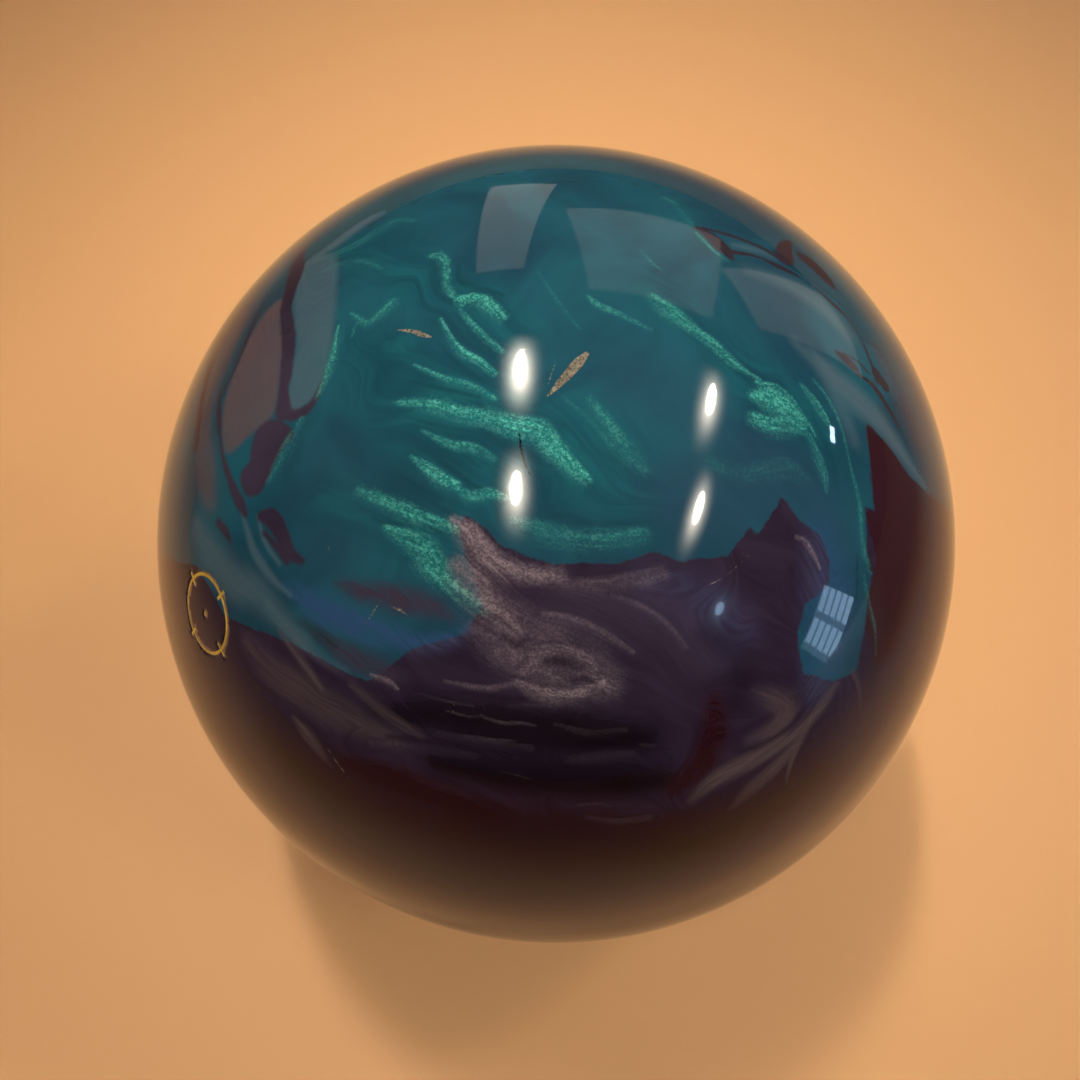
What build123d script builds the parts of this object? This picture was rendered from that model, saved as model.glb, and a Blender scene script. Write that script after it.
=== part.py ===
from build123d import *

import os
from math import cos, pi, radians, sin, sqrt

# Ten-pin bowling ball: a swirled reactive shell over a cast core, drilled for a right hand with
# two fingertip inserts and an interchangeable thumb.
#
# Millimetres, +Z up, origin at the ball's centre. Every hole and mark is placed by the direction
# it faces from the centre, and depths run inwards along its axis from the ball's surface.

# Ball and its layers
ball_diameter = 217.0
cover_thickness = 19.0

# Where things face, as azimuth from +X towards +Y and elevation above the horizon, in degrees
mass_bias_azimuth, mass_bias_elevation = 213.8, 31.3
pin_azimuth, pin_elevation = 82.0, 43.5  # squared up to the mass bias below
grip_azimuth, grip_elevation = 131.0, 12.0
grip_roll = 20.0  # how far the fingers' end of the grip tilts up

# Grip: span and bridge are measured over the ball, between the edges of the drilled holes
span = 108.0
bridge = 9.5
finger_pitch = 6.5  # how far each finger hole's axis passes to its own side of the ball's centre

# Finger inserts and the holes they are glued into
insert_diameter = 24.6
insert_length = 32.0
insert_floor = 2.5
insert_vent = 5.0
insert_mouth_radius = 1.6
middle_insert_wall = 2.0
ring_insert_wall = 2.4
finger_well = 6.0  # drilled past the insert's foot, before the drill's point
drill_point_height = 5.0

# Thumb: a sleeve glued into the ball, and a slug that twists and lifts out of it
slug_diameter = 33.0
slug_length = 62.0
slug_clearance = 0.1  # radial, slug in sleeve
seat_gap = 0.3  # between the slug's parts and what they stop against
thumb_bore = 23.8
thumb_floor = 4.0  # between the thumb's bore and the lock base's socket
thumb_mouth_radius = 2.4
sleeve_wall = 2.45
ledge_thickness = 3.0
end_cap_thickness = 3.5

# Bayonet at the foot of the slug
lug_count = 3
lug_gap = 2.0  # between the lugs' tips and the sleeve's bore
lug_reach = 3.6  # of the lugs past the neck
lug_width = 9.0
lug_thickness = 2.4
bayonet_clearance = 0.4
spigot_radius = 7.5
spigot_length = 5.0
lock_turn = 60.0

# O-ring near the top of the slug, and the rubber pad under it
oring_section = 1.8
oring_depth = 14.0
oring_clearance = 0.05
bumper_radius = 12.0
bumper_thickness = 3.0

# Index notches that show the slug's open and locked positions
index_length = 1.6
index_width = 1.0
index_depth = 0.6

# Weight block, along the pin's axis: radii and heights of its outline
block_foot_radius, block_foot_height = 24.0, -47.0
block_skirt_radius, block_skirt_height = 33.0, -36.0
block_waist_radius, block_waist_height = 29.0, -16.0
block_bulb_radius, block_bulb_height = 50.0, 14.0
block_shoulder_radius, block_shoulder_height = 38.0, 40.0
block_rim_radius, block_top_height = 25.0, 48.0
block_flat_distance = 36.0  # of the two side flats, which make it asymmetric
dense_insert_radius = 21.0
dense_insert_height = 17.0

# Plugs and marks at the surface
pin_diameter = 7.0
pin_socket = 6.0
mass_bias_plug_diameter = 1.2
mass_bias_plug_depth = 6.0
cg_dot_diameter = 1.6
cg_dot_depth = 0.8
pin_to_cg = 63.0  # over the ball
locator_radius = 9.0
locator_line = 0.75
locator_depth = 0.45
locator_tick_length = 3.4
locator_tick_count = 4
enamel_recess = 0.06

ball_radius = ball_diameter / 2
filler_radius = ball_radius - cover_thickness
insert_radius = insert_diameter / 2
middle_finger_bore = insert_diameter - 2 * middle_insert_wall
ring_finger_bore = insert_diameter - 2 * ring_insert_wall
finger_hole_depth = insert_length + finger_well
slug_radius = slug_diameter / 2
sleeve_bore_radius = slug_radius + slug_clearance
sleeve_radius = sleeve_bore_radius + sleeve_wall
lug_radius = sleeve_bore_radius - lug_gap
neck_radius = lug_radius - lug_reach
above = 5.0  # how far cutting tools start above the ball

socket_depth = slug_length - spigot_length
thumb_bore_depth = socket_depth - thumb_floor
ledge_depth = slug_length + seat_gap
chamber_depth = ledge_depth + ledge_thickness
lug_depth = chamber_depth + seat_gap
foot_depth = lug_depth + lug_thickness
cap_depth = foot_depth + seat_gap + bumper_thickness
sleeve_depth = cap_depth + end_cap_thickness
dense_insert_depth = dense_insert_height - block_top_height


def direction(azimuth, elevation):
    """Unit vector that faces that way from the ball's centre."""
    a, e = radians(azimuth), radians(elevation)
    return Vector(cos(e) * cos(a), cos(e) * sin(a), sin(e))


def square_to(vector, axis):
    """The part of vector that is perpendicular to axis, as a unit vector."""
    return (vector - axis * vector.dot(axis)).normalized()


def surface_plane(facing, across, pitch=0.0):
    """Plane on the ball's surface where it faces that way: Z outwards, X towards across.

    Z points away from the ball's centre, or from a point that far towards across from it.
    """
    surface = facing * ball_radius
    outwards = (surface - across * pitch).normalized()
    return Plane(origin=surface, x_dir=square_to(across, outwards), z_dir=outwards)


def grip_direction(up_arc, right_arc):
    """Direction of a point that far up and right of the grip's centre, over the ball."""
    up, right = up_arc / ball_radius, right_arc / ball_radius
    midline = grip.z_dir * cos(up) + grip.y_dir * sin(up)
    return midline * cos(right) + grip.x_dir * sin(right)


def section_plane(plane):
    """Plane through plane's axis: X away from the axis, Y along it."""
    return Plane(origin=plane.origin, x_dir=plane.x_dir, z_dir=-plane.y_dir)


def turn(plane, outline, mode=Mode.ADD):
    """Revolves an outline of (radius, height) points about plane's axis."""
    with BuildSketch(section_plane(plane)) as half:
        with BuildLine():
            Polyline(*outline, close=True)
        make_face()
    revolve(half.sketch, axis=Axis(plane.origin, plane.z_dir), mode=mode)


def disc(plane, radius, top, bottom, mode=Mode.ADD):
    """Round disc or hole about plane's axis, between two depths below plane."""
    turn(plane, [(0, -top), (radius, -top), (radius, -bottom), (0, -bottom)], mode)


def plug(plane, radius, depth, mode=Mode.ADD):
    """Round plug or hole from above the ball's surface down to that depth."""
    disc(plane, radius, -above, depth, mode)


def mouth_edge(builder, plane, radius):
    """Outermost edge that goes once round plane's axis at about that radius."""
    girth = 2 * pi * radius
    rings = builder.edges().filter_by(lambda edge: abs(edge.length - girth) < girth / 100)
    return rings.sort_by(Axis(plane.origin, plane.z_dir))[-1]


# Frames that everything is placed by
mass_bias_facing = direction(mass_bias_azimuth, mass_bias_elevation)
pin_facing = square_to(direction(pin_azimuth, pin_elevation), mass_bias_facing)
core = Plane(origin=(0, 0, 0), x_dir=mass_bias_facing, z_dir=pin_facing)

grip_facing = direction(grip_azimuth, grip_elevation)
level = Vector(0, 0, 1).cross(grip_facing).normalized()
upright = grip_facing.cross(level)
fingers_way = upright * sin(radians(grip_roll)) - level * cos(radians(grip_roll))
grip = Plane(origin=(0, 0, 0), x_dir=fingers_way.cross(grip_facing), z_dir=grip_facing)

finger_up = span / 2 + insert_radius
finger_right = bridge / 2 + insert_radius
middle_finger = surface_plane(grip_direction(finger_up, -finger_right), grip.x_dir, -finger_pitch)
ring_finger = surface_plane(grip_direction(finger_up, finger_right), grip.x_dir, finger_pitch)
thumb = surface_plane(grip_direction(-span / 2 - sleeve_radius, 0), grip.x_dir)

mass_bias_mark = surface_plane(mass_bias_facing, pin_facing)
cg_turn = pin_to_cg / ball_radius
cg_facing = pin_facing * cos(cg_turn) + square_to(grip_facing, pin_facing) * sin(cg_turn)
cg_mark = surface_plane(cg_facing, pin_facing)


# What is drilled out of the ball and of everything in it
with BuildPart() as drilling:
    for finger in (middle_finger, ring_finger):
        drill_outline = [
            (0, above),
            (insert_radius, above),
            (insert_radius, -finger_hole_depth),
            (0, -finger_hole_depth - drill_point_height),
        ]
        turn(finger, drill_outline)
    plug(thumb, sleeve_radius, sleeve_depth)

# Coloured plug left where the core stood in its mould, from its socket out to the surface
with BuildPart() as core_pin:
    disc(core, pin_diameter / 2, -ball_radius - above, pin_socket - block_top_height)
    Sphere(ball_radius, mode=Mode.INTERSECT)
    add(drilling.part, mode=Mode.SUBTRACT)

with BuildPart() as mass_bias_plug:
    plug(mass_bias_mark, mass_bias_plug_diameter / 2, mass_bias_plug_depth)
    Sphere(ball_radius - enamel_recess, mode=Mode.INTERSECT)

with BuildPart() as cg_dot_infill:
    plug(cg_mark, cg_dot_diameter / 2, cg_dot_depth)
    Sphere(ball_radius - enamel_recess, mode=Mode.INTERSECT)

# Locator engraved round the mass bias: a ring with four ticks across it
with BuildPart() as locator_cut:
    plug(mass_bias_mark, locator_radius + locator_line / 2, above)
    plug(mass_bias_mark, locator_radius - locator_line / 2, above, Mode.SUBTRACT)
    with BuildSketch(mass_bias_mark.offset(-above)):
        with PolarLocations(locator_radius, locator_tick_count, start_angle=45):
            Rectangle(locator_tick_length, locator_line)
    extrude(amount=2 * above)
    Sphere(ball_radius - locator_depth, mode=Mode.SUBTRACT)

with BuildPart() as locator_ring_infill:
    add(locator_cut.part)
    Sphere(ball_radius - enamel_recess, mode=Mode.INTERSECT)

with BuildPart() as coverstock:
    Sphere(ball_radius)
    Sphere(filler_radius, mode=Mode.SUBTRACT)
    add(drilling.part, mode=Mode.SUBTRACT)
    add(core_pin.part, mode=Mode.SUBTRACT)
    add(locator_cut.part, mode=Mode.SUBTRACT)
    plug(mass_bias_mark, mass_bias_plug_diameter / 2, mass_bias_plug_depth, Mode.SUBTRACT)
    plug(cg_mark, cg_dot_diameter / 2, cg_dot_depth, Mode.SUBTRACT)

# Weight block: a bulb on a waist and a skirt, with two side flats
with BuildPart() as block_blank:
    with BuildSketch(section_plane(core)) as block_half:
        with BuildLine():
            Polyline(
                (block_rim_radius, block_top_height),
                (0, block_top_height),
                (0, block_foot_height),
                (block_foot_radius, block_foot_height),
                (block_skirt_radius, block_skirt_height),
                (block_waist_radius, block_waist_height),
            )
            ThreePointArc(
                (block_waist_radius, block_waist_height),
                (block_bulb_radius, block_bulb_height),
                (block_shoulder_radius, block_shoulder_height),
            )
            Line(
                (block_shoulder_radius, block_shoulder_height),
                (block_rim_radius, block_top_height),
            )
        make_face()
    revolve(block_half.sketch, axis=Axis(core.origin, core.z_dir))
    with BuildSketch(core.offset(block_foot_height)):
        Rectangle(2 * block_bulb_radius, 2 * block_flat_distance)
    extrude(amount=block_top_height - block_foot_height, mode=Mode.INTERSECT)

with BuildPart() as dense_insert:
    disc(core, dense_insert_radius, -block_top_height, dense_insert_depth)
    add(core_pin.part, mode=Mode.SUBTRACT)
    add(drilling.part, mode=Mode.SUBTRACT)

with BuildPart() as weight_block:
    add(block_blank.part)
    disc(core, dense_insert_radius, -block_top_height, dense_insert_depth, Mode.SUBTRACT)
    add(drilling.part, mode=Mode.SUBTRACT)

with BuildPart() as outer_core:
    Sphere(filler_radius)
    add(block_blank.part, mode=Mode.SUBTRACT)
    add(core_pin.part, mode=Mode.SUBTRACT)
    add(drilling.part, mode=Mode.SUBTRACT)


def finger_insert(hole, bore):
    """Soft grip glued into a finger hole, flush with the ball and vented through its floor."""
    with BuildPart() as insert:
        plug(hole, insert_radius, insert_length)
        Sphere(ball_radius, mode=Mode.INTERSECT)
        plug(hole, bore / 2, insert_length - insert_floor, Mode.SUBTRACT)
        plug(hole, insert_vent / 2, insert_length + above, Mode.SUBTRACT)
        fillet(mouth_edge(insert, hole, bore / 2), insert_mouth_radius)
    return insert


middle_finger_insert = finger_insert(middle_finger, middle_finger_bore)
ring_finger_insert = finger_insert(ring_finger, ring_finger_bore)


def lug_outline(depth, grow=0.0):
    """Bayonet lugs and neck at that depth, grown all round for the notches they pass through."""
    with BuildSketch(thumb.offset(-depth)) as outline:
        with PolarLocations(lug_radius / 2, lug_count):
            Rectangle(lug_radius + 2 * grow, lug_width + 2 * grow)
        Circle(lug_radius + grow, mode=Mode.INTERSECT)
        Circle(neck_radius + grow)
    return outline.sketch


def index_notches(rim_radius, turns):
    """Cuts a short radial notch across the thumb's rim of that radius at each of those turns."""
    rim_drop = ball_radius - sqrt(ball_radius**2 - rim_radius**2)
    with BuildSketch(thumb.offset(-rim_drop - index_depth)) as notches:
        for angle in turns:
            with PolarLocations(rim_radius, 1, start_angle=angle):
                Rectangle(2 * index_length, index_width)
    extrude(notches.sketch, amount=above, dir=thumb.z_dir, mode=Mode.SUBTRACT)


# Sleeve: plain bore, then the notched ledge that the lugs pass through and lock under
with BuildPart() as thumb_sleeve:
    plug(thumb, sleeve_radius, cap_depth)
    Sphere(ball_radius, mode=Mode.INTERSECT)
    plug(thumb, sleeve_bore_radius, ledge_depth, Mode.SUBTRACT)
    disc(thumb, sleeve_bore_radius, chamber_depth, cap_depth, Mode.SUBTRACT)
    notched_ledge = lug_outline(chamber_depth, bayonet_clearance)
    extrude(notched_ledge, amount=ledge_thickness, dir=thumb.z_dir, mode=Mode.SUBTRACT)
    index_notches(sleeve_bore_radius, (0, -lock_turn))

with BuildPart() as thumb_sleeve_cap:
    disc(thumb, sleeve_radius, cap_depth, sleeve_depth)

with BuildPart() as thumb_bumper_pad:
    disc(thumb, bumper_radius, cap_depth - bumper_thickness, cap_depth)

# Slug: bored for the thumb and trimmed flush with the ball
oring_outer = sleeve_bore_radius - oring_clearance
groove_radius = oring_outer - oring_section - oring_clearance
groove_half = oring_section / 2 + oring_clearance
groove_outline = [
    (groove_radius, groove_half - oring_depth),
    (sleeve_radius, groove_half - oring_depth),
    (sleeve_radius, -groove_half - oring_depth),
    (groove_radius, -groove_half - oring_depth),
]
with BuildPart() as thumb_slug:
    plug(thumb, slug_radius, slug_length)
    Sphere(ball_radius, mode=Mode.INTERSECT)
    plug(thumb, thumb_bore / 2, thumb_bore_depth, Mode.SUBTRACT)
    disc(thumb, spigot_radius, socket_depth, slug_length, Mode.SUBTRACT)
    turn(thumb, groove_outline, Mode.SUBTRACT)
    fillet(mouth_edge(thumb_slug, thumb, thumb_bore / 2), thumb_mouth_radius)
    index_notches(slug_radius, (0,))

with BuildPart() as thumb_o_ring:
    with BuildSketch(section_plane(thumb)) as ring_section:
        with Locations((oring_outer - oring_section / 2, -oring_depth)):
            Circle(oring_section / 2)
    revolve(ring_section.sketch, axis=Axis(thumb.origin, thumb.z_dir))

# Bayonet foot: spigot glued into the slug, neck through the ledge, lugs under it
with BuildPart() as thumb_lock_base:
    disc(thumb, spigot_radius, socket_depth, slug_length)
    disc(thumb, neck_radius, slug_length, lug_depth)
    lugs = lug_outline(foot_depth)
    extrude(lugs, amount=lug_thickness, dir=thumb.z_dir)

pieces = {
    "coverstock": coverstock,
    "outer_core": outer_core,
    "weight_block": weight_block,
    "dense_insert": dense_insert,
    "core_pin": core_pin,
    "mass_bias_plug": mass_bias_plug,
    "locator_ring_infill": locator_ring_infill,
    "cg_dot_infill": cg_dot_infill,
    "middle_finger_insert": middle_finger_insert,
    "ring_finger_insert": ring_finger_insert,
    "thumb_sleeve": thumb_sleeve,
    "thumb_sleeve_cap": thumb_sleeve_cap,
    "thumb_bumper_pad": thumb_bumper_pad,
    "thumb_slug": thumb_slug,
    "thumb_lock_base": thumb_lock_base,
    "thumb_o_ring": thumb_o_ring,
}
os.makedirs("parts", exist_ok=True)
for name, piece in pieces.items():
    piece.part.label = name
    export_step(piece.part, f"parts/{name}.step")
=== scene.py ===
"""Looks of the bowling ball: its swirled pearl shell, the enamel of its mark, the grips and the core.

The shell's pattern is drawn as strokes on charts. A chart is a flat map of the ball round one
facing: a place is (right, up) in degrees of arc from the chart's middle.
"""

from math import atan2, cos, radians, sin

import bmesh
import bpy
import numpy as np
from mathutils import Matrix, Vector


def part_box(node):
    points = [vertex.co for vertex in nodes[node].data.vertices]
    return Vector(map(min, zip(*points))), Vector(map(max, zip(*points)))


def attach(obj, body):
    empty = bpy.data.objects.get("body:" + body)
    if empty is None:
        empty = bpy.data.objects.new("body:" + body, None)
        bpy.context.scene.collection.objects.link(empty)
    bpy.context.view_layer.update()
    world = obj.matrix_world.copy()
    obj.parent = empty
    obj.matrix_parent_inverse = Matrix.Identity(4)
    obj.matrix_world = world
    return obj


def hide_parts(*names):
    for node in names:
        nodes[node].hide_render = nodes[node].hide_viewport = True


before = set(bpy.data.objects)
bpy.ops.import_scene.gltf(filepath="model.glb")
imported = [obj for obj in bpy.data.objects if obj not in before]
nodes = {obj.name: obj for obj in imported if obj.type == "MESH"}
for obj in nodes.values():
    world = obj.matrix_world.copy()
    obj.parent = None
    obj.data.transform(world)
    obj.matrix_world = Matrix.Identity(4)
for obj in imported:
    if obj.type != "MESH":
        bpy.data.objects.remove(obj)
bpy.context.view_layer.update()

MM = 0.001
ball_low, ball_high = (Vector(corner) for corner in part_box("coverstock"))
ball_centre = (ball_low + ball_high) / 2
ball_radius = (ball_high.z - ball_low.z) / 2
floor_z = ball_low.z

camera_elevation = 60.8
camera_distance = 313 * MM
camera_lens, camera_sensor = 36.0, 36.0
aim_left, aim_up = 4.16 * MM, 0.86 * MM  # the ball stands a little right of the view's middle

# ---------------------------------------------------------------- charts


class Chart:
    """A map of the ball round one facing, with up as near the given way as it goes."""

    def __init__(self, facing, upwards, turn=0.0, mirrored=False):
        self.facing = Vector(facing).normalized()
        up = (Vector(upwards) - self.facing * self.facing.dot(Vector(upwards))).normalized()
        up.rotate(Matrix.Rotation(radians(turn), 3, self.facing))
        self.up = up
        self.right = up.cross(self.facing) * (-1 if mirrored else 1)

    def direction(self, right, up):
        """Unit vector that faces that place."""
        away = radians((right**2 + up**2) ** 0.5)
        angle = atan2(up, right)
        across = self.right * cos(angle) + self.up * sin(angle)
        return self.facing * cos(away) + across * sin(away)

    def places(self, directions):
        """(right, up) of each direction, and how far it is from the chart's middle."""
        toward = np.clip(directions @ np.array(self.facing), -1, 1)
        x, y = directions @ np.array(self.right), directions @ np.array(self.up)
        away = np.degrees(np.arccos(toward))
        scale = away / np.maximum(np.hypot(x, y), 1e-9)
        return np.stack([x * scale, y * scale], axis=1), away


elevation = radians(camera_elevation)
show_facing = Vector((0, -cos(elevation), sin(elevation)))
show = Chart(show_facing, (0, 0, 1))
charts = [
    show,
    Chart((0.75, 0.6, -0.25), (0, 0, 1), 70, mirrored=True),
    Chart((-0.8, 0.55, -0.2), (0, 0, 1), -35),
    Chart((0.0, -0.45, -0.9), (0, 1, 0), 160, mirrored=True),
]
chart_reach = 78.0  # degrees from its middle at which a chart gives way to its neighbours
chart_blend = 16.0  # degrees over which it does so

# ---------------------------------------------------------------- the swirl
# A line is (strength, [(right, up, half width), ...]) and a patch is (strength, [(right, up), ...]),
# all in degrees. Pearl lines are sharp on the left of their way and feather out on its right.

shoreline = [
    (-100, -2), (-47, -4), (-41, -10), (-36, -11), (-30, -12), (-25, -14), (-20, -15.5),
    (-15, -12), (-9, -9.5), (-7, -6.5), (-8.5, -3), (-10, 1.5), (-9, 2.8), (-7, 1.5),
    (-5, -0.5), (0, -2), (6, -1.8), (10, -0.6), (13, -1.4), (18, -1), (19.5, 1), (20.5, 2.3),
    (21.5, 1.5), (24.5, 5.2), (27, 3), (29.5, 1.7), (31, -1), (31, -4), (28, -6), (27, -9),
    (28.5, -14), (33, -15.5), (37, -14.5), (37.5, -9), (38, -3), (37, 0), (36.8, 5),
    (38.5, 4.7), (38, 8), (38, 15.5), (42, 13.5), (46, 10), (51, 8), (100, 0), (100, 100),
    (-100, 100),
]  # fmt: skip

# Crisp folds of a dark colour
plum_marks = [
    (1, [(-38.6, 42.6, 0.9), (-37.8, 39.4, 1.2), (-37, 36.8, 1.5), (-36.4, 33.5, 1.2),
         (-36, 30, 1.0), (-34.6, 27, 1.2), (-33.4, 23.5, 1.1), (-32.8, 20, 0.9),
         (-32.6, 17, 0.8), (-32.2, 14.8, 1.2)]),
    (1, [(-32, 14.6, 0.9), (-30.4, 14.1, 0.7), (-28.6, 14.7, 0.6), (-27.8, 15.6, 0.45),
         (-27.2, 17, 0.3), (-26.9, 18.6, 0.15)]),
    (1, [(-33.5, 13.8), (-31, 12.8), (-30.2, 11.6), (-31.6, 10), (-32.8, 8), (-33.6, 6.2),
         (-35, 4.8), (-36.8, 4.8), (-38.2, 6.4), (-38, 8), (-36.8, 9), (-36.8, 11), (-36, 13)]),
    (1, [(-41.6, 35, 0.3), (-42.4, 31, 0.4), (-42.6, 27, 0.35), (-43.6, 22, 0.35),
         (-45.4, 18.5, 0.5), (-44.4, 15, 0.5), (-43, 11.6, 0.5), (-41.4, 8.6, 0.6),
         (-39.6, 6, 0.7), (-38, 4, 0.8), (-36.8, 2.6, 0.4)]),
    (1, [(-34.2, 2.4, 0.6), (-32.4, 2, 1.2), (-31, 0.4, 1.2), (-29.6, -1.8, 0.9),
         (-28, -2.6, 0.4)]),
    (1, [(-33.6, 0.4, 0.4), (-31.6, -1.2, 0.5), (-30, -2.8, 0.4)]),
    (1, [(-42, 1.6, 0.4), (-40.4, 0.4, 0.5), (-39.4, -0.8, 0.2)]),
    (1, [(-50.6, 36, 0.8), (-51.6, 28, 1.2), (-51.4, 20, 1.0), (-49.6, 12, 0.6)]),
]  # fmt: skip

maroon_marks = [
    (1, [(38, 15.2), (40, 14.6), (43, 12.4), (45.6, 10), (48, 8.6), (50, 4), (50, -2),
         (47.5, -8), (44, -13), (42, -14.6), (40.2, -14), (39, -11), (37.6, -8.6), (37.6, -5),
         (38.6, -2), (38, 1), (36.8, 4.8), (38.4, 4.6), (38.2, 9)]),
    (1, [(17.2, 40.4, 0.3), (19, 39, 1.0), (20.2, 37.4, 1.1), (21, 36, 0.6)]),
    (1, [(18, 40.6, 0.25), (22, 40.3, 0.35), (26, 39.6, 0.35), (29, 38.4, 0.35)]),
    (1, [(28.6, 38.4), (29, 41), (31, 43.2), (33.4, 44.4), (32, 41.6), (31.4, 38.6), (30, 37.4)]),
    (1, [(21.6, 37, 0.5), (25, 37.3, 0.3), (28.4, 36.6, 0.35), (31, 36, 0.25)]),
    (1, [(33.8, 41, 0.9), (35.6, 40, 1.4), (37.4, 38, 1.2), (38.2, 36.4, 0.4)]),
    (1, [(31, 36, 0.2), (34, 34.8, 0.2), (36.2, 33.2, 0.35), (38.6, 31.6, 0.25),
         (40.4, 28.6, 0.25), (41.4, 25, 0.3), (41.8, 22, 0.25)]),
    (1, [(34.6, 24.8, 0.25), (36.2, 24, 0.75), (38, 22.8, 0.35)]),
    (1, [(36, 25, 0.15), (38.6, 24.2, 0.2), (40.4, 23, 0.2)]),
    (1, [(37.6, 22.4, 0.25), (40.6, 21.4, 0.35), (43, 19, 0.35), (45, 16.6, 0.2)]),
    (1, [(42, 23.4, 0.9), (43.6, 22, 0.8)]),
]  # fmt: skip

# Dark creases between the pearl's folds, and last a band of painted shade
crease_and_painted_shade_marks = [
    (0.8, [(-14.5, 9.6, 0.15), (-11, 7.6, 0.3), (-8.5, 5.8, 0.25), (-7, 5.2, 0.1)]),
    (0.7, [(-9.6, 8.9, 0.15), (-8.2, 7.8, 0.25), (-7.4, 7.4, 0.1)]),
    (0.8, [(-14, 1.8, 0.15), (-12, 1.0, 0.3), (-10.6, 0.6, 0.15)]),
    (0.6, [(-16, 13, 0.15), (-12, 11.9, 0.25), (-9, 11.3, 0.15)]),
    (0.5, [(-16, 17, 0.2), (-12, 16, 0.3), (-8, 15, 0.2)]),
    (0.5, [(-13, 21.5, 0.2), (-10.6, 18.8, 0.4), (-8, 17, 0.3)]),
    (0.5, [(-11, 24.5, 0.2), (-9, 22, 0.4), (-6.6, 19.8, 0.3)]),
    (0.6, [(-12, 32, 0.3), (-11.4, 29.6, 0.5), (-9.6, 28.6, 0.5), (-6.4, 27.4, 0.4)]),
    (0.5, [(-17, 7.4, 0.2), (-14, 5.4, 0.4), (-11.6, 4.2, 0.3)]),
    (0.6, [(-19, 2.2, 0.3), (-16.6, 1.6, 0.4), (-14.8, 1.4, 0.2)]),
    (0.5, [(12, 24.8, 0.2), (15, 22.6, 0.3), (18, 20.4, 0.4), (21, 18.4, 0.3)]),
    (0.5, [(29, 15.8, 0.3), (30, 13.6, 0.6), (31.4, 10.6, 0.6), (32.4, 7, 0.4)]),
    (0.9, [(35.3, -0.4, 0.2), (35.5, -3, 0.3), (35.6, -5.6, 0.2)]),
    (0.9, [(36.9, -1.6, 0.2), (38.4, -2.4, 0.3), (40, -2.2, 0.15)]),
    (1, [(-0.6, -12, 0.5), (1.2, -12.1, 0.9), (3, -12.6, 0.6)]),
    (0.9, [(2.2, -14, 0.35), (3.4, -13.8, 0.5), (4.6, -14.3, 0.3)]),
    (0.8, [(0, -17.9, 0.4), (2, -17.7, 0.5), (4, -17.8, 0.3)]),
    (0.7, [(-12, -15.8, 0.2), (-8, -15.9, 0.3), (-4, -16.2, 0.3), (-2, -16, 0.15)]),
    (0.7, [(-17, -17.8, 0.3), (-12, -17.5, 0.4), (-8, -17.9, 0.3), (-2, -18, 0.25)]),
    (0.7, [(-15, -19.3, 0.4), (-9, -19.7, 0.5), (-3, -20.1, 0.4), (1, -20.2, 0.25)]),
    (0.7, [(-18, -21.8, 0.5), (-12, -22, 0.7), (-6, -22.6, 0.6), (0, -22.8, 0.4)]),
    (0.8, [(-13, -24, 0.7), (-5, -24.2, 0.8), (3, -24.8, 0.9), (10, -24.6, 0.8)]),
    (0.6, [(-5, -9.6, 0.4), (-3.6, -10.4, 0.5), (-2.4, -9.6, 0.3)]),
    (0.5, [(10, -21, 0.4), (11.4, -21.9, 0.5), (13, -22, 0.3)]),
    (0.6, [(29.4, -18.6, 0.2), (27.4, -20.8, 0.3), (24.4, -22.4, 0.3), (21.6, -23.2, 0.2)]),
    (0.5, [(31.6, -17, 0.2), (30, -19.6, 0.25), (27.8, -21.6, 0.2)]),
    # Painted shade: a broad dark band along the foot of the ball's facing side
    (0.6, [(-8, -34, 2), (2, -35, 3), (12, -35.4, 2)]),
]  # fmt: skip

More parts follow.
